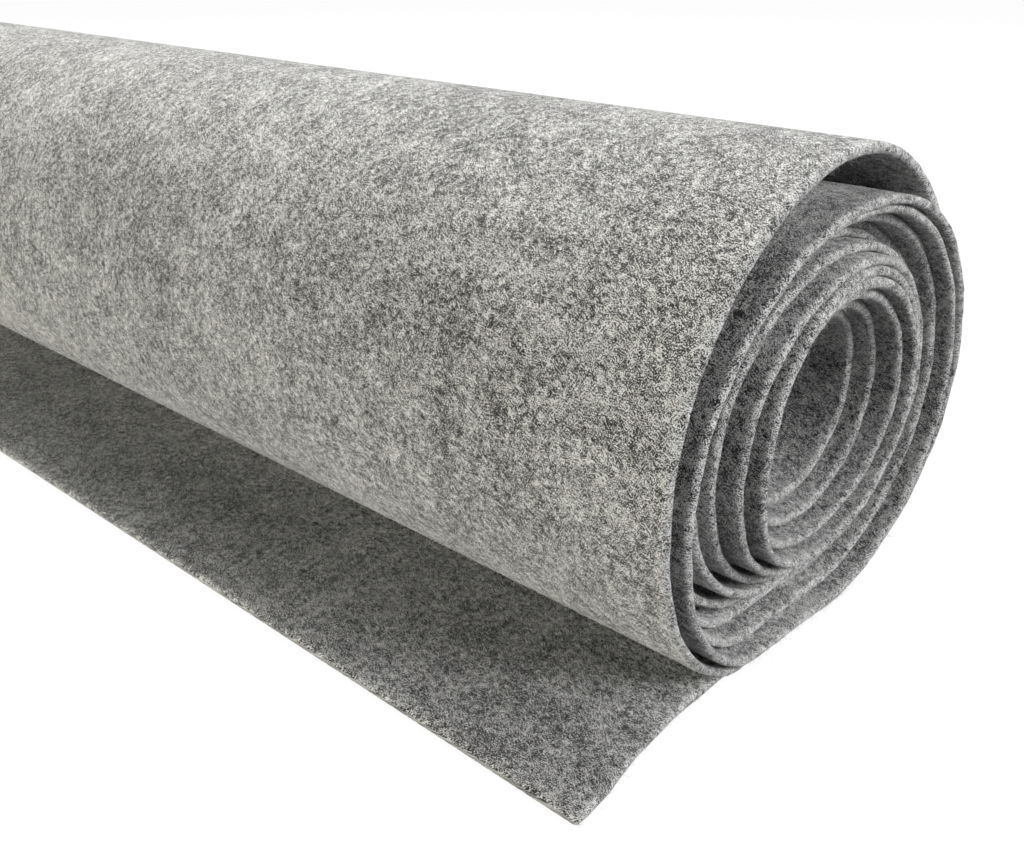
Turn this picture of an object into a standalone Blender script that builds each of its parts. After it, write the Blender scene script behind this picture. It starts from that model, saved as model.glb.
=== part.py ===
"""A roll of felt lying on its side, its loose end run out flat under it.

One solid: a single length of thick needle felt, wound about thirteen times. The section is followed from
the front edge of the loose end, under the roll, and then round and round to the inner end. Each wrap
has its own radii, and its cut edge leads or trails its neighbours, as in a roll wound by hand.

Units are metres, +Z is up, +Y runs along the roll away from the near cut edge.
"""

import math

import bmesh
import bpy
import numpy as np

MM = 0.001

# the felt
FELT_THICKNESS = 3.0 * MM
FELT_WIDTH = 900.0 * MM

# the wound section
AXIS_HEIGHT = 88.0 * MM
LAYER_PITCH = 3.4 * MM
LEVEL_BLEND = 2.0 * MM
INNER_END_TURN = 12.85
STEPS_PER_TURN = 48

# the loose end, from under the roll to its front edge
FLAP_REACH = 145.5 * MM
FLAP_STEPS = 14

# outer radius of the wraps in mm, measured from the roll's axis at eight places round the turn
RADIUS_COLUMNS = ("wrap", "bottom", "low_right", "right", "high_right", "top", "high_left", "left", "low_left")
RADIUS_ROWS = (
    (1, 91.0, 88.5, 86.5, 84.5, 94.0, 98.0, 103.0, 103.5),
    (2, 87.5, 85.0, 82.5, 78.5, 77.5, 85.0, 95.0, 98.0),
    (4, 80.0, 78.0, 75.5, 70.5, 70.5, 76.5, 86.5, 89.5),
    (7, 68.5, 65.0, 62.5, 60.0, 60.0, 62.0, 66.0, 69.0),
    (10, 55.0, 52.0, 50.0, 48.5, 49.0, 49.5, 51.0, 53.5),
    (13, 38.5, 39.0, 39.0, 36.5, 34.0, 31.5, 31.0, 33.0),
    (15, 28.0, 30.0, 31.0, 29.0, 27.0, 25.0, 24.0, 25.0),
)

# how far the near cut edge of each wrap stands out of the end, in mm
LEAD_COLUMNS = ("wrap", "bottom", "right", "top", "left")
LEAD_ROWS = (
    (1, -3.0, -1.5, 5.0, 6.5),
    (2, -0.5, 5.5, 11.5, 9.5),
    (3, 2.5, 4.5, 8.5, 3.5),
    (4, -5.0, -1.5, 2.5, -3.5),
    (5, -12.5, -4.0, -10.5, -12.5),
    (6, -13.5, -9.5, -7.0, -7.0),
    (7, -7.0, -2.0, 1.5, -3.5),
    (8, -7.0, 0.0, 7.5, 4.0),
    (9, -1.0, 2.5, 8.0, 9.5),
    (10, 2.5, 4.5, 7.5, 5.0),
    (11, -2.5, 0.5, 2.5, 0.0),
    (12, -8.5, -8.5, -3.0, -3.0),
    (13, -15.0, -16.0, -9.0, -9.0),
    (14, -9.0, -14.0, -9.0, -9.0),
)

# the near cut edge of the loose end: distance from the roll's middle and how far it stands out, in mm
FLAP_COLUMNS = ("reach", "lead")
FLAP_ROWS = (
    (0.0, -3.0),
    (48.5, -3.0),
    (97.0, 1.8),
    (145.5, 12.0),
)

FELT_COLOUR = (0.42, 0.42, 0.40, 1.0)
FELT_ROUGHNESS = 0.95
SHARP_ANGLE = math.radians(40.0)

PLACES_ROUND = len(RADIUS_COLUMNS) - 1
LEADS_ROUND = len(LEAD_COLUMNS) - 1


def smooth_through(values, place):
    """Read a smooth curve that passes through evenly spaced values at fractional places."""
    values = np.asarray(values, dtype=float)
    last = len(values) - 1
    start = np.clip(np.floor(place).astype(int), 0, last - 1)
    t = place - start
    before = values[np.maximum(start - 1, 0)]
    here = values[start]
    after = values[start + 1]
    beyond = values[np.minimum(start + 2, last)]
    slope = after - before
    bow = 2.0 * before - 5.0 * here + 4.0 * after - beyond
    twist = 3.0 * here - before - 3.0 * after + beyond
    return 0.5 * (2.0 * here + slope * t + bow * t ** 2 + twist * t ** 3)


def radius_knots():
    """Return the outer radius at every eighth of a turn, the wraps between two rows being blended."""
    rows = np.array(RADIUS_ROWS)
    wraps = np.arange(rows[0, 0], rows[-1, 0])
    columns = [np.interp(wraps, rows[:, 0], rows[:, place]) for place in range(1, PLACES_ROUND + 1)]
    return np.stack(columns, axis=1).ravel() * MM


def lead_knots():
    """Return the lead of the near edge at every quarter turn."""
    return np.array(LEAD_ROWS)[:, 1:].ravel() * MM


def level_off(height, blend):
    """Return the height where it is above nought, and nought below it, with a short curve between."""
    curve = (height + blend) ** 2 / (4.0 * blend)
    return np.where(height <= -blend, 0.0, np.where(height >= blend, height, curve))


def wound_row(turn, radius, depth):
    """Return x and z of a face of the felt, depth being how far it lies inside the outer face."""
    angle = 2.0 * math.pi * (turn - 0.25)
    across = (radius - depth) * np.cos(angle)
    height = AXIS_HEIGHT + (radius - depth) * np.sin(angle)
    nearest_bottom = np.round(turn)
    level = LAYER_PITCH * nearest_bottom + depth
    lower_half = np.abs(turn - nearest_bottom) < 0.25
    height = np.where(lower_half, level + level_off(height - level, LEVEL_BLEND), height)
    return across, height


def section():
    """Return the section from the loose end to the inner end as x, z of both faces, and the edge lead."""
    reach = np.linspace(FLAP_REACH, 0.0, FLAP_STEPS, endpoint=False)
    flap = np.array(FLAP_ROWS) * MM
    flap_lead = smooth_through(flap[:, 1], reach / flap[-1, 0] * (len(flap) - 1))
    turn = np.arange(0.0, INNER_END_TURN, 1.0 / STEPS_PER_TURN)
    radius = smooth_through(radius_knots(), turn * PLACES_ROUND)
    outer_x, outer_z = wound_row(turn, radius, 0.0)
    inner_x, inner_z = wound_row(turn, radius, FELT_THICKNESS)
    lead = smooth_through(lead_knots(), turn * LEADS_ROUND)
    outer = np.stack([np.r_[-reach, outer_x], np.r_[reach * 0.0, outer_z]], axis=1)
    inner = np.stack([np.r_[-reach, inner_x], np.r_[reach * 0.0 + FELT_THICKNESS, inner_z]], axis=1)
    return outer, inner, np.r_[flap_lead, lead]


def roll_mesh():
    """Build the wound felt as one closed mesh, its origin at the middle of the box's bottom."""
    outer, inner, lead = section()
    near = -lead
    far = near + FELT_WIDTH
    middle_x = 0.5 * (outer[:, 0].min() + outer[:, 0].max())
    middle_y = 0.5 * (near.min() + far.max())
    mesh = bpy.data.meshes.new("felt_roll")
    shell = bmesh.new()
    rings = []
    for face_out, face_in, y_near, y_far in zip(outer, inner, near, far):
        corners = (
            (face_out[0] - middle_x, y_near - middle_y, face_out[1]),
            (face_out[0] - middle_x, y_far - middle_y, face_out[1]),
            (face_in[0] - middle_x, y_far - middle_y, face_in[1]),
            (face_in[0] - middle_x, y_near - middle_y, face_in[1]),
        )
        rings.append([shell.verts.new(corner) for corner in corners])
    for ring, following in zip(rings[:-1], rings[1:]):
        for side in range(4):
            beside = (side + 1) % 4
            shell.faces.new((ring[side], ring[beside], following[beside], following[side]))
    shell.faces.new(rings[0][::-1])
    shell.faces.new(rings[-1])
    bmesh.ops.recalc_face_normals(shell, faces=shell.faces[:])
    shell.to_mesh(mesh)
    shell.free()
    mesh.shade_smooth()
    mesh.set_sharp_from_angle(angle=SHARP_ANGLE)
    return mesh


def felt_material():
    """Return the plain grey material of the felt."""
    material = bpy.data.materials.new("grey_felt")
    material.use_nodes = True
    shader = material.node_tree.nodes["Principled BSDF"]
    shader.inputs["Base Color"].default_value = FELT_COLOUR
    shader.inputs["Roughness"].default_value = FELT_ROUGHNESS
    return material


def main():
    """Clear the scene and place the roll in it."""
    for thing in list(bpy.data.objects):
        bpy.data.objects.remove(thing, do_unlink=True)
    mesh = roll_mesh()
    mesh.materials.append(felt_material())
    roll = bpy.data.objects.new("felt_roll", mesh)
    bpy.context.scene.collection.objects.link(roll)


main()
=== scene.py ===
"""A loosely wound roll of thick grey marl felt, lying on its side with its loose end run out under it.

The felt is one sheet. It is followed along its length, from the front edge of the loose end, under the roll
and then round and round to the inner end, and the cut edges are soft, rounded and hairy. All sizes are in
metres unless a name or a comment says otherwise. +Y runs along the roll, away from the end that is seen.
"""

import logging
import math
from dataclasses import dataclass, field
from enum import Enum
from typing import Sequence

import bpy
import numpy as np
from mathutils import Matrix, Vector


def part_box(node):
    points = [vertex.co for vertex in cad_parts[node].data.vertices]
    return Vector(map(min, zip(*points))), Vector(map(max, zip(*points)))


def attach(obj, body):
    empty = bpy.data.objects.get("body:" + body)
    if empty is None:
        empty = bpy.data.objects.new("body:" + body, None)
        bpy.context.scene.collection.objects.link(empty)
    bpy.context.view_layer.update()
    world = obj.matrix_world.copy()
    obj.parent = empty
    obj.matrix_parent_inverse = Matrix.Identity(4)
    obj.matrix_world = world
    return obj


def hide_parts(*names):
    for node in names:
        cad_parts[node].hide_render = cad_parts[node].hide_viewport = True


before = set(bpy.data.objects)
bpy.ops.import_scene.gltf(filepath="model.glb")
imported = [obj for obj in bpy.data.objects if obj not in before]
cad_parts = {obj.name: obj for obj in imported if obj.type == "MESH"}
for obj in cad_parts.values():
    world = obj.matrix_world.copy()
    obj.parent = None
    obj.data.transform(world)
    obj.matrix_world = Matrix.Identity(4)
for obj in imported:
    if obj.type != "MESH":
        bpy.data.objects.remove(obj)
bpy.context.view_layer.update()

LOG = logging.getLogger("felt_roll")
MM = 0.001
SOLID = "felt_roll"

# outer radius of the wraps in mm from the roll's axis, at eight places round the turn
RADIUS_COLUMNS = (
    "wrap", "bottom", "low_right", "right", "high_right", "top", "high_left", "left", "low_left",
)
RADIUS_ROWS = (
    (1, 91.0, 88.5, 86.5, 84.5, 94.0, 98.0, 103.0, 103.5),
    (2, 87.5, 85.0, 82.5, 78.5, 77.5, 85.0, 95.0, 98.0),
    (4, 80.0, 78.0, 75.5, 70.5, 70.5, 76.5, 86.5, 89.5),
    (7, 68.5, 65.0, 62.5, 60.0, 60.0, 62.0, 66.0, 69.0),
    (10, 55.0, 52.0, 50.0, 48.5, 49.0, 49.5, 51.0, 53.5),
    (13, 38.5, 39.0, 39.0, 36.5, 34.0, 31.5, 31.0, 33.0),
    (15, 28.0, 30.0, 31.0, 29.0, 27.0, 25.0, 24.0, 25.0),
)

# how far the near cut edge of each wrap stands out of the end, in mm
LEAD_COLUMNS = ("wrap", "bottom", "right", "top", "left")
LEAD_ROWS = (
    (1, -3.0, -1.5, 5.0, 6.5),
    (2, -0.5, 5.5, 11.5, 9.5),
    (3, 2.5, 4.5, 8.5, 3.5),
    (4, -5.0, -1.5, 2.5, -3.5),
    (5, -12.5, -4.0, -10.5, -12.5),
    (6, -13.5, -9.5, -7.0, -7.0),
    (7, -7.0, -2.0, 1.5, -3.5),
    (8, -7.0, 0.0, 7.5, 4.0),
    (9, -1.0, 2.5, 8.0, 9.5),
    (10, 2.5, 4.5, 7.5, 5.0),
    (11, -2.5, 0.5, 2.5, 0.0),
    (12, -8.5, -8.5, -3.0, -3.0),
    (13, -15.0, -16.0, -9.0, -9.0),
    (14, -9.0, -14.0, -9.0, -9.0),
)

# the near cut edge of the loose end: reach from the roll's middle and how far it stands out, in mm
FLAP_COLUMNS = ("reach", "lead")
FLAP_ROWS = (
    (0.0, -3.0),
    (48.5, -3.0),
    (97.0, 1.8),
    (145.5, 12.0),
)

# distances in mm from a cut edge at which the sheet has a row of points
FACE_STATIONS_MM = (0.0, 0.8, 1.8, 3.0, 4.6, 7.0, 12.0, 30.0, 70.0, 150.0, 290.0)

# the waver of a cut edge: the length of each wave in metres and its share of the whole
RIPPLE_COLUMNS = ("length", "share")
RIPPLE_ROWS = (
    (0.031, 0.55),
    (0.0117, 0.3),
    (0.0053, 0.15),
)

# what makes the felt light or dark: the middle of each texture's values, and how strongly it counts
TONE_COLUMNS = ("texture", "middle", "strength")
TONE_ROWS = (
    ("pale", 0.66, 4.6),
    ("deep", 0.34, 2.6),
    ("curls", 0.40, 0.30),
    ("grain", 0.5, 2.8),
    ("clumps", 0.5, 1.7),
    ("clouds", 0.5, 1.1),
    ("patches", 0.5, 0.5),
)


class Side(Enum):
    """The two cut edges that run along the felt."""

    NEAR = -1.0
    FAR = 1.0


class Face(Enum):
    """The two faces of the felt: outer is away from the roll's axis."""

    OUTER = 0.0
    INNER = 1.0


def smooth_through(values: Sequence[float], place: np.ndarray) -> np.ndarray:
    """Read a smooth curve that passes through evenly spaced values.

    Args:
        values: The values at the places 0, 1, 2 and so on.
        place: Fractional places along them.

    Returns:
        The curve's value at each place.
    """
    knots = np.asarray(values, dtype=float)
    last = len(knots) - 1
    start = np.clip(np.floor(place).astype(int), 0, last - 1)
    t = place - start
    before = knots[np.maximum(start - 1, 0)]
    here = knots[start]
    after = knots[start + 1]
    beyond = knots[np.minimum(start + 2, last)]
    slope = after - before
    bow = 2.0 * before - 5.0 * here + 4.0 * after - beyond
    twist = 3.0 * here - before - 3.0 * after + beyond
    return 0.5 * (2.0 * here + slope * t + bow * t ** 2 + twist * t ** 3)


def level_off(height: np.ndarray, blend: float) -> np.ndarray:
    """Return the height where it is above nought, and nought below it, with a short curve between."""
    curve = (height + blend) ** 2 / (4.0 * blend)
    return np.where(height <= -blend, 0.0, np.where(height >= blend, height, curve))


@dataclass
class Path:
    """The felt's section as rows of numbers, one for each station along its length."""

    outer: np.ndarray
    inner: np.ndarray
    near: np.ndarray
    far: np.ndarray
    run: np.ndarray
    turn: np.ndarray

    def at(self, place: np.ndarray) -> "Path":
        """Return the path read at fractional station numbers."""
        count = np.arange(len(self.run))

        def read(values: np.ndarray) -> np.ndarray:
            """Read one or two columns at the places."""
            if values.ndim == 1:
                return np.interp(place, count, values)
            return np.stack([np.interp(place, count, column) for column in values.T], axis=1)

        return Path(*(read(values) for values in
                      (self.outer, self.inner, self.near, self.far, self.run, self.turn)))


@dataclass
class Winding:
    """The way the felt is wound, from its loose end to its inner end."""

    thickness: float = 3.3 * MM
    width: float = 900.0 * MM
    axis_height: float = 88.0 * MM
    layer_pitch: float = 3.4 * MM
    level_blend: float = 2.0 * MM
    inner_end_turn: float = 12.85
    steps_per_turn: int = 96
    flap_reach: float = 145.5 * MM
    flap_steps: int = 40
    edge_ripple: float = 0.35 * MM
    loose_swell: float = 0.7 * MM
    pressed_share: float = 0.14

    def plump(self, turn: np.ndarray, room: np.ndarray) -> np.ndarray:
        """Return the felt's thickness at each station: it swells a little where the next wrap leaves room.

        Args:
            turn: Turns from the bottom of the first wrap.
            room: Distance from this wrap's outer face to the next one's.

        Returns:
            The thickness there.
        """
        off_bottom = np.abs(turn - np.round(turn))
        free = np.clip((off_bottom - self.pressed_share) / 0.1, 0.0, 1.0)
        return self.thickness + free * np.clip(room - self.thickness - 0.3 * MM, 0.0, self.loose_swell)

    def row(self, turn: np.ndarray, radius: np.ndarray, depth: np.ndarray) -> np.ndarray:
        """Return x and z of one face of the wound felt.

        Args:
            turn: Turns from the bottom of the first wrap.
            radius: Outer radius there.
            depth: How far the face lies inside the outer one.

        Returns:
            An array with x and z in its columns.
        """
        angle = 2.0 * math.pi * (turn - 0.25)
        across = (radius - depth) * np.cos(angle)
        height = self.axis_height + (radius - depth) * np.sin(angle)
        nearest_bottom = np.round(turn)
        level = self.layer_pitch * nearest_bottom + depth
        lower_half = np.abs(turn - nearest_bottom) < 0.25
        height = np.where(lower_half, level + level_off(height - level, self.level_blend), height)
        return np.stack([across, height], axis=1)

    def ripple(self, run: np.ndarray, side: Side) -> np.ndarray:
        """Return the small waver of a cut edge along the felt."""
        phase = 0.0 if side is Side.NEAR else 2.1
        return self.edge_ripple * sum(
            share * np.sin(2.0 * math.pi * run / length + phase + 40.0 * length)
            for length, share in RIPPLE_ROWS)

    def path(self) -> Path:
        """Work out the felt's section and both cut edges in the part's frame."""
        places = len(RADIUS_COLUMNS) - 1
        leads = len(LEAD_COLUMNS) - 1
        rows = np.array(RADIUS_ROWS)
        wraps = np.arange(rows[0, 0], rows[-1, 0])
        columns = [np.interp(wraps, rows[:, 0], rows[:, place]) for place in range(1, places + 1)]
        radius_knots = np.stack(columns, axis=1).ravel() * MM
        lead_knots = np.array(LEAD_ROWS)[:, 1:].ravel() * MM
        flap = np.array(FLAP_ROWS) * MM
        reach = np.linspace(self.flap_reach, 0.0, self.flap_steps, endpoint=False)
        flap_lead = smooth_through(flap[:, 1], reach / flap[-1, 0] * (len(flap) - 1))
        turn = np.arange(0.0, self.inner_end_turn, 1.0 / self.steps_per_turn)
        radius = smooth_through(radius_knots, turn * places)
        following = smooth_through(radius_knots, (turn + 1.0) * places)
        outer = self.row(turn, radius, 0.0 * turn)
        inner = self.row(turn, radius, self.plump(turn, radius - following))
        flap_outer = np.stack([-reach, reach * 0.0], axis=1)
        flap_inner = np.stack([-reach, reach * 0.0 + self.thickness], axis=1)
        outer = np.concatenate([flap_outer, outer])
        inner = np.concatenate([flap_inner, inner])
        lead = np.concatenate([flap_lead, smooth_through(lead_knots, turn * leads)])
        low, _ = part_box(SOLID)
        shift = np.array([low[0] + self.flap_reach, low[2]])
        outer += shift
        inner += shift
        near = low[1] + flap[-1, 1] - lead
        middle = 0.5 * (outer + inner)
        steps = np.linalg.norm(np.diff(middle, axis=0), axis=1)
        run = np.concatenate([[0.0], np.cumsum(steps)])
        whole_turn = np.concatenate([-reach / self.flap_reach, turn])
        return Path(outer, inner, near + self.ripple(run, Side.NEAR),
                    near + self.width + self.ripple(run, Side.FAR), run, whole_turn)


class NodeDesk:
    """Places shader nodes in a material, one call for each."""

    def __init__(self, material: bpy.types.Material) -> None:
        """Start from the material's own shader."""
        material.use_nodes = True
        self.tree = material.node_tree
        self.shader = self.tree.nodes["Principled BSDF"]

    def link(self, source: bpy.types.NodeSocket, target: bpy.types.NodeSocket) -> None:
        """Join two sockets."""
        self.tree.links.new(source, target)

    def put(self, socket: bpy.types.NodeSocket, value: object) -> None:
        """Join a socket to a value's socket, or set the plain value on it."""
        if isinstance(value, bpy.types.NodeSocket):
            self.link(value, socket)
        else:
            socket.default_value = value

    def calc(self, operation: str, first: object, second: object = 0.0):
        """Return the socket of one step of arithmetic."""
        node = self.tree.nodes.new("ShaderNodeMath")
        node.operation = operation
        self.put(node.inputs[0], first)
        self.put(node.inputs[1], second)
        return node.outputs[0]

    def uv(self, name: str):
        """Return the socket of the piece's own map."""
        node = self.tree.nodes.new("ShaderNodeUVMap")
        node.uv_map = name
        return node.outputs["UV"]

    def attribute(self, name: str):
        """Return the number that the piece keeps at each point under this name."""
        node = self.tree.nodes.new("ShaderNodeAttribute")
        node.attribute_name = name
        return node.outputs["Fac"]

    def turned(self, vector: object, degrees: float, scale: tuple, shift: tuple = (0.0, 0.0, 0.0)):
        """Return the map turned in its own plane and then stretched.

        Args:
            vector: The map's socket.
            degrees: How far it is turned.
            scale: How far it is stretched along its three axes.
            shift: How far it is moved first.

        Returns:
            The socket of the new map.
        """
        turn = self.tree.nodes.new("ShaderNodeMapping")
        turn.vector_type = "POINT"
        self.put(turn.inputs["Vector"], vector)
        turn.inputs["Rotation"].default_value = (0.0, 0.0, math.radians(degrees))
        turn.inputs["Location"].default_value = shift
        stretch = self.tree.nodes.new("ShaderNodeVectorMath")
        stretch.operation = "MULTIPLY"
        self.link(turn.outputs["Vector"], stretch.inputs[0])
        stretch.inputs[1].default_value = scale
        return stretch.outputs["Vector"]

    def noise(self, vector: object, scale: float, detail: float = 2.0, roughness: float = 0.5):
        """Return the value and colour sockets of a flat noise.

        Args:
            vector: The map that it is read on.
            scale: How fine it is, in blobs for each unit of the map.
            detail: How many finer layers are added.
            roughness: How strong the finer layers are.

        Returns:
            The socket of the value and the socket of the colour.
        """
        node = self.tree.nodes.new("ShaderNodeTexNoise")
        node.noise_dimensions = "2D"
        self.put(node.inputs["Vector"], vector)
        node.inputs["Scale"].default_value = scale
        node.inputs["Detail"].default_value = detail
        node.inputs["Roughness"].default_value = roughness
        return node.outputs["Fac"], node.outputs["Color"]

    def spread(self, value: object, low: float, high: float, to_low: float, to_high: float):
        """Return a value mapped from one span onto another, held at both ends."""
        node = self.tree.nodes.new("ShaderNodeMapRange")
        self.put(node.inputs["Value"], value)
        node.inputs["From Min"].default_value = low
        node.inputs["From Max"].default_value = high
        node.inputs["To Min"].default_value = to_low
        node.inputs["To Max"].default_value = to_high
        return node.outputs["Result"]

    def ramp(self, value: object, stops: Sequence[tuple]):
        """Return the colour of a ramp with these stops."""
        node = self.tree.nodes.new("ShaderNodeValToRGB")
        marks = node.color_ramp.elements
        while len(marks) < len(stops):
            marks.new(1.0)
        for mark, (place, colour) in zip(marks, stops):
            mark.position = place
            mark.color = (*colour, 1.0)
        self.put(node.inputs["Fac"], value)
        return node.outputs["Color"]


@dataclass(frozen=True)
class FeltFinish:
    """Grey marl felt: matted light and dark fibres, cloudy, with a dry fuzzy face.

    Sizes are in millimetres of the cloth and fineness is in blobs for each millimetre of it. The height of
    the relief alone is in metres.
    """

    dark: tuple = (0.007, 0.007, 0.0075)
    middle: tuple = (0.142, 0.142, 0.140)
    light: tuple = (0.78, 0.78, 0.77)
    fibre_angles: tuple = (88.0, 115.0, 142.0, 30.0)
    fibre_length: float = 4.0
    fibre_width: float = 0.31
    sway_fineness: float = 0.22
    sway_reach: float = 1.4
    curl_sizes: tuple = (1.3, 1.8, 2.4, 3.2)
    curl_width: float = 0.035
    grain_fineness: float = 2.5
    clump_fineness: float = 0.33
    cloud_size: float = 13.0
    patch_size: float = 70.0
    # painted highlight: how much lighter the cut edges and the faces near them are painted, standing in for
    # the light that falls on the protruding edges
    painted_edge_highlight: float = 0.26
    bump_height: float = 0.6 * MM

    def swayed(self, desk: NodeDesk, flat: bpy.types.NodeSocket):
        """Return the map pushed about a little, so that the fibres on it aren't straight."""
        _, sway = desk.noise(flat, self.sway_fineness, 1.0)
        push = desk.tree.nodes.new("ShaderNodeVectorMath")
        push.operation = "MULTIPLY_ADD"
        desk.link(sway, push.inputs[0])
        push.inputs[1].default_value = (self.sway_reach, self.sway_reach, 0.0)
        desk.link(flat, push.inputs[2])
        return push.outputs["Vector"]

    def fibres(self, desk: NodeDesk, curled: bpy.types.NodeSocket) -> tuple:
        """Return the light fibres that lie uppermost, and the dark gaps between them all."""
        strands = []
        for order, angle in enumerate(self.fibre_angles):
            fineness = (1.0 / self.fibre_length, 1.0 / self.fibre_width, 0.0)
            stretched = desk.turned(curled, angle, fineness, (31.0 * order, 17.0 * order, 0.0))
            value, _ = desk.noise(stretched, 1.0, 1.0)
            strands.append(value)
        pale = strands[0]
        deep = strands[0]
        for strand in strands[1:]:
            pale = desk.calc("MAXIMUM", pale, strand)
            deep = desk.calc("MINIMUM", deep, strand)
        return pale, deep

    def curls(self, desk: NodeDesk, flat: bpy.types.NodeSocket):
        """Return the thin curled lines of single fibres."""
        curls = 0.0
        for order, size in enumerate(self.curl_sizes):
            turned = desk.turned(flat, 37.0 * order, (1.0, 1.0, 0.0))
            value, _ = desk.noise(turned, 1.0 / size, 1.0, 0.4)
            off = desk.calc("ABSOLUTE", desk.calc("SUBTRACT", value, 0.5))
            line = desk.spread(off, 0.0, self.curl_width, 1.0, 0.0)
            curls = desk.calc("ADD", curls, line)
        return curls

    def material(self) -> bpy.types.Material:
        """Make the felt's material on the piece's own map, which is in metres of the cloth."""
        material = bpy.data.materials.new("grey_marl_felt")
        desk = NodeDesk(material)
        flat = desk.turned(desk.uv("cloth"), 0.0, (1.0 / MM, 1.0 / MM, 0.0))
        curled = self.swayed(desk, flat)
        pale, deep = self.fibres(desk, curled)
        grain, _ = desk.noise(curled, self.grain_fineness, 0.0, 0.5)
        clumps, _ = desk.noise(curled, self.clump_fineness, 2.0, 0.65)
        clouds, _ = desk.noise(flat, 1.0 / self.cloud_size, 3.0, 0.55)
        patches, _ = desk.noise(flat, 1.0 / self.patch_size, 2.0, 0.5)
        textures = {
            "pale": pale,
            "deep": deep,
            "curls": self.curls(desk, flat),
            "grain": grain,
            "clumps": clumps,
            "clouds": clouds,
            "patches": patches,
        }
        # the tone starts lighter where the cut attribute is high: a painted highlight on the cut edges and
        # the faces near them
        tone = desk.calc("MULTIPLY_ADD", desk.attribute("cut"), self.painted_edge_highlight)
        tone.node.inputs[2].default_value = 0.5
        for name, middle, strength in TONE_ROWS:
            off_middle = desk.calc("SUBTRACT", textures[name], middle)
            tone = desk.calc("ADD", tone, desk.calc("MULTIPLY", off_middle, strength))
        colour = desk.ramp(tone, ((0.0, self.dark), (0.5, self.middle), (1.0, self.light)))
        desk.link(colour, desk.shader.inputs["Base Color"])
        relief = desk.calc("ADD", desk.calc("MULTIPLY", pale, 0.7), desk.calc("MULTIPLY", grain, 0.6))
        bump = desk.tree.nodes.new("ShaderNodeBump")
        bump.inputs["Strength"].default_value = 0.8
        bump.inputs["Distance"].default_value = self.bump_height
        desk.link(relief, bump.inputs["Height"])
        desk.link(bump.outputs["Normal"], desk.shader.inputs["Normal"])
        desk.shader.inputs["Roughness"].default_value = 0.95
        desk.shader.inputs["Specular IOR Level"].default_value = 0.12
        desk.shader.inputs["Sheen Weight"].default_value = 0.25
        desk.shader.inputs["Sheen Roughness"].default_value = 0.6
        return material


@dataclass(frozen=True)
class HairFinish:
    """The loose fibres that stand off the felt."""

    colour: tuple = (0.62, 0.62, 0.61, 1.0)

    def material(self) -> bpy.types.Material:
        """Make the plain material of the loose fibres."""
        material = bpy.data.materials.new("loose_fibre")
        desk = NodeDesk(material)
        desk.shader.inputs["Base Color"].default_value = self.colour
        desk.shader.inputs["Roughness"].default_value = 0.9
        desk.shader.inputs["Specular IOR Level"].default_value = 0.15
        return material


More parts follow.
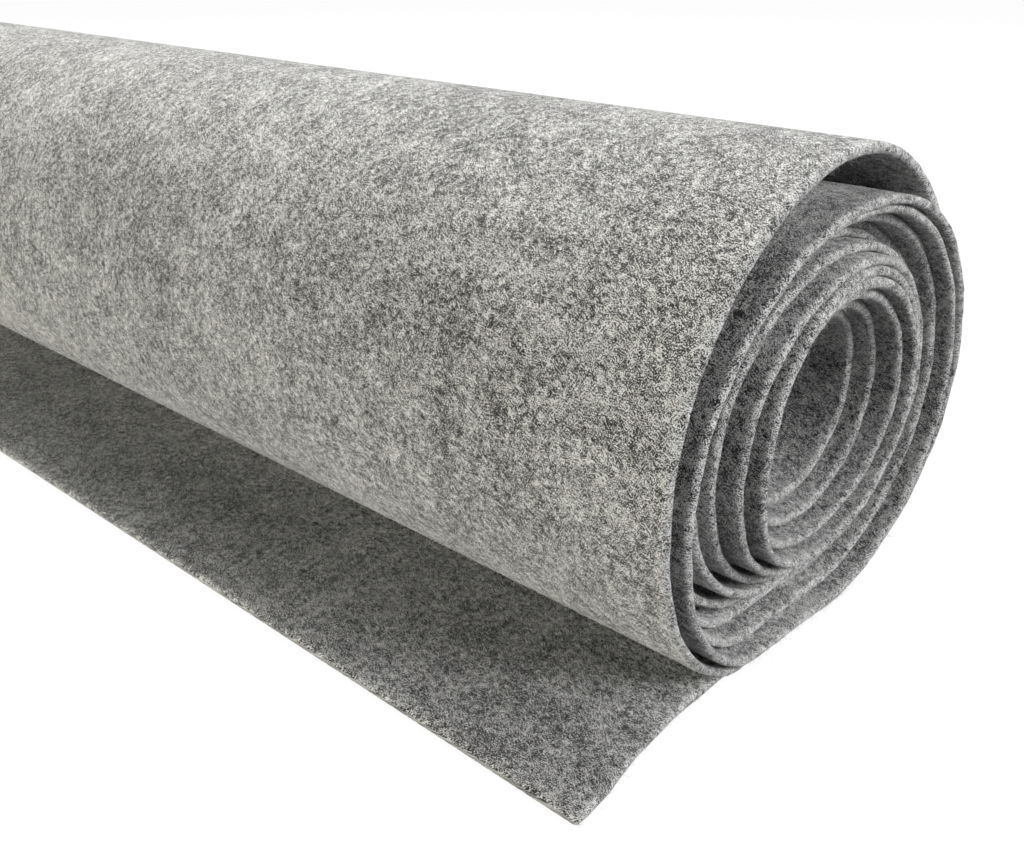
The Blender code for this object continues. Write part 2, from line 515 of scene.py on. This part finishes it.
@dataclass
class FeltSheet:
    """The whole piece of felt as one soft-edged sheet."""

    winding: Winding
    finish: FeltFinish
    edge_round: float = 1.9 * MM
    # how far from a cut edge the painted highlight fades out over both faces
    edge_highlight_fade: float = 2.5 * MM
    edge_points: int = 7
    end_stations: int = 5
    name: str = "felt_sheet"
    path: Path = field(init=False)
    piece: bpy.types.Object = field(init=False)

    def ring(self) -> tuple:
        """Lay out the points of one ring round the sheet, from the far edge over the outer face.

        Returns:
            The share of the thickness, the side that each point is measured from and its distance from that
            edge, then the running length round the ring and the nearness to a cut edge, which is the mask
            of the painted highlight on the cut edges.
        """
        half = np.array(FACE_STATIONS_MM) * MM
        angle = np.linspace(0.0, math.pi, self.edge_points + 2)[1:-1]
        around_depth = 0.5 * (1.0 - np.cos(angle))
        around_inset = self.edge_round * (1.0 - np.sin(angle))
        flat = half + self.edge_round
        ones = np.ones(len(flat))
        turning = np.ones(len(angle))
        share = np.concatenate([0 * ones, 0 * ones, around_depth, ones, ones, around_depth[::-1]])
        side = np.concatenate([ones, -ones, -turning, -ones, ones, turning])
        gap = np.concatenate([flat, flat[::-1], around_inset, flat, flat[::-1], around_inset])
        # cut is the mask of the painted highlight: full on the rounded cut edge, fading over both faces
        # away from it
        fade = np.exp(-half / self.edge_highlight_fade)
        cut = np.concatenate([fade, fade[::-1], turning, fade, fade[::-1], turning])
        across = np.where(side > 0, self.winding.width - gap, gap)
        points = np.stack([across, share * self.winding.thickness], axis=1)
        closed = np.concatenate([points, points[:1]])
        length = np.concatenate([[0.0], np.cumsum(np.linalg.norm(np.diff(closed, axis=0), axis=1))])
        return share, side, gap, length, cut

    def end_taper(self, count: int) -> np.ndarray:
        """Return how full the sheet's thickness is at each station, rounded off at its two ends."""
        full = np.ones(count)
        rounding = np.sin(np.linspace(0.12, 0.5, self.end_stations) * math.pi)
        full[:self.end_stations] = rounding
        full[-self.end_stations:] = rounding[::-1]
        return full

    def with_rounded_ends(self, path: Path) -> Path:
        """Return the path with close stations added at its two ends, for their rounding."""
        last = len(path.run) - 1
        turn_in = 1.0 - np.cos(np.linspace(0.0, 0.5, self.end_stations) * math.pi)
        start = turn_in * self.edge_round / (path.run[1] - path.run[0])
        stop = last - turn_in[::-1] * self.edge_round / (path.run[-1] - path.run[-2])
        place = np.concatenate([start, np.arange(math.ceil(start[-1]), stop[0]), stop])
        return path.at(np.unique(place))

    def build(self) -> bpy.types.Object:
        """Build the sheet's mesh with its map of the cloth."""
        path = self.with_rounded_ends(self.winding.path())
        self.path = path
        share, side, gap, length, cut = self.ring()
        count = len(path.run)
        per_ring = len(share)
        full = self.end_taper(count)[:, None]
        depth = 0.5 + (share[None, :] - 0.5) * full
        inset = gap[None, :] + self.edge_round * (1.0 - full)
        along = np.where(side[None, :] < 0, path.near[:, None] + inset, path.far[:, None] - inset)
        section = path.outer[:, None, :] + (path.inner - path.outer)[:, None, :] * depth[:, :, None]
        points = np.stack([section[:, :, 0], along, section[:, :, 1]], axis=2).reshape(-1, 3)
        first = np.arange(count - 1)[:, None] * per_ring
        here = np.arange(per_ring)[None, :]
        beside = (here + 1) % per_ring
        further = first + per_ring
        quads = np.stack([first + here, first + beside, further + beside, further + here], axis=2)
        quads = quads.reshape(-1, 4)
        mesh = bpy.data.meshes.new(self.name)
        caps = [list(range(per_ring - 1, -1, -1)), list(range((count - 1) * per_ring, count * per_ring))]
        mesh.from_pydata(points.tolist(), [], quads.tolist() + caps)
        self.map_cloth(mesh, path, length)
        # the cut attribute carries the mask of the painted highlight on the cut edges to the material
        mesh.attributes.new("cut", "FLOAT", "POINT").data.foreach_set("value", np.tile(cut, count))
        mesh.update()
        self.piece = bpy.data.objects.new(self.name, mesh)
        bpy.context.scene.collection.objects.link(self.piece)
        self.turn_faces_out()
        return self.piece

    def map_cloth(self, mesh: bpy.types.Mesh, path: Path, length: np.ndarray) -> None:
        """Give each corner its place on the flat cloth, in metres along and across it.

        Args:
            mesh: The sheet's mesh.
            path: The felt's section and edges.
            length: The running length round one ring.
        """
        count = len(path.run)
        per_ring = len(length) - 1
        along = np.repeat(path.run, per_ring).reshape(count, per_ring)
        v_here = np.tile(length[:-1], (count, 1))
        v_beside = np.tile(length[1:], (count, 1))
        corners = np.stack([
            np.stack([along[:-1], v_here[:-1]], axis=2),
            np.stack([along[:-1], v_beside[:-1]], axis=2),
            np.stack([along[1:], v_beside[1:]], axis=2),
            np.stack([along[1:], v_here[1:]], axis=2),
        ], axis=2).reshape(-1, 2)
        first_cap = np.stack([along[0], v_here[0]], axis=1)[::-1]
        last_cap = np.stack([along[-1], v_here[-1]], axis=1)
        values = np.concatenate([corners, first_cap, last_cap])
        mesh.uv_layers.new(name="cloth").data.foreach_set("uv", values.ravel())

    def turn_faces_out(self) -> None:
        """Make every face point out of the felt."""
        bpy.ops.object.select_all(action="DESELECT")
        self.piece.select_set(True)
        bpy.context.view_layer.objects.active = self.piece
        bpy.ops.object.mode_set(mode="EDIT")
        bpy.ops.mesh.select_all(action="SELECT")
        bpy.ops.mesh.normals_make_consistent(inside=False)
        bpy.ops.object.mode_set(mode="OBJECT")
        bpy.ops.object.shade_smooth()
        self.piece.select_set(False)

    def dress(self, with_pieces: Sequence[bpy.types.Object]) -> None:
        """Give the sheet its finish, hang it on the root body and hide the imported solid roll.

        Args:
            with_pieces: The loose fibres that stand on the felt; not used.
        """
        self.piece.data.materials.append(self.finish.material())
        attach(self.piece, "root")
        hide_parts(SOLID)


@dataclass
class LooseFibres:
    """Fine fibres that stand off the felt, each a closed tapering thread."""

    name: str
    count: int
    seed: int
    length: float = 1.5 * MM
    radius: float = 0.05 * MM
    rings: int = 3
    sides: int = 3
    piece: bpy.types.Object = field(init=False)

    def threads(self, root: np.ndarray, lean: np.ndarray, bow: np.ndarray, long: np.ndarray) -> None:
        """Build all the threads as one mesh.

        Args:
            root: Where each thread starts.
            lean: The unit direction in which it starts.
            bow: The direction in which it curls over.
            long: Its length.
        """
        upright = np.abs(lean[:, 2:3]) >= 0.8
        helper = np.where(upright, np.array([[1.0, 0.0, 0.0]]), np.array([[0.0, 0.0, 1.0]]))
        first = np.cross(lean, helper)
        first /= np.linalg.norm(first, axis=1, keepdims=True)
        second = np.cross(lean, first)
        verts = []
        for ring in range(self.rings):
            t = ring / self.rings
            centre = root + lean * (long * t)[:, None] + bow * (long * t * t)[:, None]
            wide = self.radius * (1.0 - 0.45 * t)
            for side in range(self.sides):
                angle = 2.0 * math.pi * side / self.sides
                verts.append(centre + wide * (math.cos(angle) * first + math.sin(angle) * second))
        verts.append(root + lean * long[:, None] + bow * long[:, None])
        points = np.stack(verts, axis=1)
        points = points[points[:, :, 2].min(axis=1) > 0.0]
        per_thread = points.shape[1]
        base = np.arange(len(points))[:, None] * per_thread
        faces = []
        for ring in range(self.rings - 1):
            for side in range(self.sides):
                beside = (side + 1) % self.sides
                low = ring * self.sides
                high = low + self.sides
                corners = (low + side, low + beside, high + beside, high + side)
                faces += (base + np.array([corners])).tolist()
        top = (self.rings - 1) * self.sides
        for side in range(self.sides):
            beside = (side + 1) % self.sides
            faces += (base + np.array([[top + side, top + beside, per_thread - 1]])).tolist()
        faces += (base + np.arange(self.sides)[::-1][None, :]).tolist()
        mesh = bpy.data.meshes.new(self.name)
        mesh.from_pydata(points.reshape(-1, 3).tolist(), [], faces)
        mesh.shade_smooth()
        self.piece = bpy.data.objects.new(self.name, mesh)
        bpy.context.scene.collection.objects.link(self.piece)

    def lengths(self, draw: np.random.Generator) -> np.ndarray:
        """Draw the threads' lengths: most are short and a few are long."""
        return self.length * np.clip(draw.lognormal(-0.15, 0.5, self.count), 0.3, 3.2)

    def dress(self, material: bpy.types.Material) -> None:
        """Give the fibres their finish and say what they belong to."""
        self.piece.data.materials.append(material)
        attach(self.piece, "root")


@dataclass
class EdgeFibres(LooseFibres):
    """The fibres that fray from one cut edge, all along the felt."""

    side: Side = Side.NEAR

    def build(self, path: Path, edge_round: float) -> bpy.types.Object:
        """Stand the fibres round the rounded cut edge.

        Args:
            path: The felt's section and edges.
            edge_round: How far the cut edge is rounded back.

        Returns:
            The finished piece.
        """
        draw = np.random.default_rng(self.seed)
        spot = path.at(draw.uniform(2.0, len(path.run) - 3.0, self.count))
        angle = draw.uniform(0.08, 0.92, self.count) * math.pi
        inward = spot.inner - spot.outer
        thickness = np.linalg.norm(inward, axis=1)
        inward /= thickness[:, None]
        depth = 0.5 * thickness * (1.0 - np.cos(angle))
        section = spot.outer + inward * depth[:, None]
        inset = edge_round * (1.0 - np.sin(angle))
        sign = self.side.value
        edge = spot.near + inset if self.side is Side.NEAR else spot.far - inset
        root = np.stack([section[:, 0], edge, section[:, 1]], axis=1)
        outward = -inward * np.cos(angle)[:, None]
        facing = np.stack([outward[:, 0], sign * np.sin(angle), outward[:, 1]], axis=1)
        lean = 0.55 * facing + 0.7 * draw.normal(0.0, 0.7, (self.count, 3))
        lean /= np.linalg.norm(lean, axis=1, keepdims=True)
        inside = np.minimum(0.0, (lean * facing).sum(axis=1))
        lean -= 1.6 * inside[:, None] * facing
        bow = draw.normal(0.0, 0.5, (self.count, 3))
        long = self.lengths(draw)
        bow[:, 2] = np.maximum(bow[:, 2], (0.0001 - root[:, 2]) / long - lean[:, 2])
        self.threads(root - facing * 0.05 * MM, lean, bow, long)
        return self.piece


@dataclass
class FaceFibres(LooseFibres):
    """The short fibres that stand off one face of the felt over part of its length."""

    face: Face = Face.OUTER
    first_turn: float = 0.0
    last_turn: float = 1.0

    def build(self, path: Path) -> bpy.types.Object:
        """Scatter the fibres over the face between two places along the felt.

        Args:
            path: The felt's section and edges.

        Returns:
            The finished piece.
        """
        draw = np.random.default_rng(self.seed)
        span = np.searchsorted(path.turn, (self.first_turn, self.last_turn))
        run = draw.uniform(path.run[span[0]], path.run[span[1]], self.count)
        place = np.interp(run, path.run, np.arange(len(path.run)))
        spot = path.at(place)
        ahead = path.at(place + 0.5)
        outward = 1.0 if self.face is Face.OUTER else -1.0
        section = spot.outer if self.face is Face.OUTER else spot.inner
        facing = outward * (spot.outer - spot.inner)
        facing /= np.linalg.norm(facing, axis=1, keepdims=True)
        along = ahead.outer - spot.outer
        along /= np.linalg.norm(along, axis=1, keepdims=True)
        width = spot.far - spot.near
        edge = spot.near + width * draw.uniform(0.003, 0.997, self.count)
        heading = draw.uniform(0.0, 2.0 * math.pi, self.count)
        lift = draw.uniform(0.15, 0.75, self.count)
        normal = np.stack([facing[:, 0], 0.0 * edge, facing[:, 1]], axis=1)
        onward = along * np.cos(heading)[:, None]
        tangent = np.stack([onward[:, 0], np.sin(heading), onward[:, 1]], axis=1)
        lean = tangent + lift[:, None] * normal
        lean /= np.linalg.norm(lean, axis=1, keepdims=True)
        aside = np.cross(normal, tangent)
        curl = draw.normal(0.0, 0.45, self.count)
        bow = aside * curl[:, None] - normal * (0.35 * lift)[:, None]
        root = np.stack([section[:, 0], edge, section[:, 1]], axis=1)
        self.threads(root - normal * 0.04 * MM, lean, bow, self.lengths(draw))
        return self.piece


@dataclass
class Softbox:
    """One large soft light aimed at the roll."""

    name: str
    place: tuple
    aim: tuple
    size: float
    power: float
    colour: tuple = (1.0, 1.0, 1.0)

    def build(self) -> None:
        """Hang the light and turn it to its aim."""
        light = bpy.data.lights.new(self.name, "AREA")
        light.shape = "SQUARE"
        light.size = self.size
        light.energy = self.power
        light.color = self.colour
        lamp = bpy.data.objects.new(self.name, light)
        lamp.location = self.place
        toward = Vector(self.aim) - Vector(self.place)
        lamp.rotation_euler = toward.to_track_quat("-Z", "Y").to_euler()
        bpy.context.scene.collection.objects.link(lamp)


@dataclass
class Studio:
    """The pale floor, the soft lights and the camera."""

    floor_size: float = 30.0
    floor_colour: tuple = (0.06, 0.06, 0.06, 1.0)
    floor_glow: float = 0.97
    sky: float = 1.0
    eye: tuple = (-0.3341, -0.6539, 0.2500)
    view_direction: tuple = (0.6539, 0.6500, -0.3872)
    focal_length: float = 43.24
    film_width: float = 36.0

    def build(self) -> None:
        """Set the floor, the sky, the lights and the camera."""
        self.lay_floor()
        self.light_sky()
        for box in (
            Softbox("overhead_softbox", (1.0, 0.6, 1.8), (0.0, -0.1, 0.1), 1.0, 76.0, (1.0, 0.99, 0.97)),
            Softbox("end_softbox", (0.4, -2.35, 1.1), (0.0, -0.1, 0.1), 1.0, 39.0),
            Softbox("front_fill", (-1.3, -2.2, 0.5), (0.0, -0.3, 0.1), 0.5, 8.0),
            Softbox("right_softbox", (1.7, -1.9, 0.8), (0.0, -0.1, 0.1), 1.0, 19.0),
            Softbox("left_softbox", (-2.25, 0.75, 0.10), (0.0, -0.1, 0.1), 0.2, 53.0, (1.0, 0.985, 0.91)),
            Softbox("far_left_glow", (-1.5, 1.3, 0.06), (-0.1, 0.35, 0.05), 0.1, 10.0, (1.0, 0.955, 0.74)),
        ):
            box.build()
        self.place_camera()
        bpy.context.scene.view_settings.view_transform = "Standard"

    def lay_floor(self) -> None:
        """Lay a plain pale floor under the roll."""
        bpy.ops.object.select_all(action="DESELECT")
        bpy.ops.mesh.primitive_plane_add(size=self.floor_size, location=(0.0, 0.0, -0.2 * MM))
        floor = bpy.context.object
        floor.name = "studio_floor"
        floor.visible_diffuse = False
        material = bpy.data.materials.new("pale_floor")
        desk = NodeDesk(material)
        desk.shader.inputs["Base Color"].default_value = self.floor_colour
        desk.shader.inputs["Roughness"].default_value = 0.9
        desk.shader.inputs["Specular IOR Level"].default_value = 0.0
        desk.shader.inputs["Emission Color"].default_value = (1.0, 1.0, 1.0, 1.0)
        desk.shader.inputs["Emission Strength"].default_value = self.floor_glow
        floor.data.materials.append(material)
        floor.select_set(False)

    def light_sky(self) -> None:
        """Show plain white past the floor's edge, and leave the lighting to the lights."""
        world = bpy.data.worlds.new("studio_sky")
        world.use_nodes = True
        background = world.node_tree.nodes["Background"]
        background.inputs["Color"].default_value = (1.0, 1.0, 1.0, 1.0)
        background.inputs["Strength"].default_value = self.sky
        bpy.context.scene.world = world
        world.cycles_visibility.diffuse = False
        world.cycles_visibility.glossy = False

    def place_camera(self) -> None:
        """Put the camera low beside the roll's near end, looking across it."""
        lens = bpy.data.cameras.new("camera")
        lens.sensor_fit = "HORIZONTAL"
        lens.sensor_width = self.film_width
        lens.lens = self.focal_length
        lens.clip_start = 0.01
        lens.dof.use_dof = False
        camera = bpy.data.objects.new("camera", lens)
        camera.location = self.eye
        camera.rotation_euler = Vector(self.view_direction).to_track_quat("-Z", "Y").to_euler()
        bpy.context.scene.collection.objects.link(camera)
        bpy.context.scene.camera = camera


def report(piece: bpy.types.Object) -> None:
    """Log a piece and how many faces it has."""
    LOG.info("%s: %d faces", piece.name, len(piece.data.polygons))


def main() -> None:
    """Build the roll, its loose fibres and the studio."""
    logging.basicConfig(level=logging.INFO, format="%(name)s %(message)s")
    winding = Winding()
    sheet = FeltSheet(winding, FeltFinish())
    report(sheet.build())
    fibres = (
        EdgeFibres("near_edge_fibres", 12000, 11, side=Side.NEAR),
        EdgeFibres("far_edge_fibres", 9000, 12, side=Side.FAR),
    )
    covers = (
        FaceFibres("outer_face_fibres", 12000, 21, face=Face.OUTER, first_turn=0.02, last_turn=1.1),
        FaceFibres("flap_fibres", 5000, 22, face=Face.INNER, first_turn=-0.99, last_turn=-0.35),
    )
    hair = HairFinish().material()
    for tuft in fibres:
        report(tuft.build(sheet.path, sheet.edge_round))
    for tuft in covers:
        report(tuft.build(sheet.path))
    for tuft in (*fibres, *covers):
        tuft.dress(hair)
    sheet.dress([tuft.piece for tuft in (*fibres, *covers)])
    Studio().build()


if __name__ == "__main__":
    main()
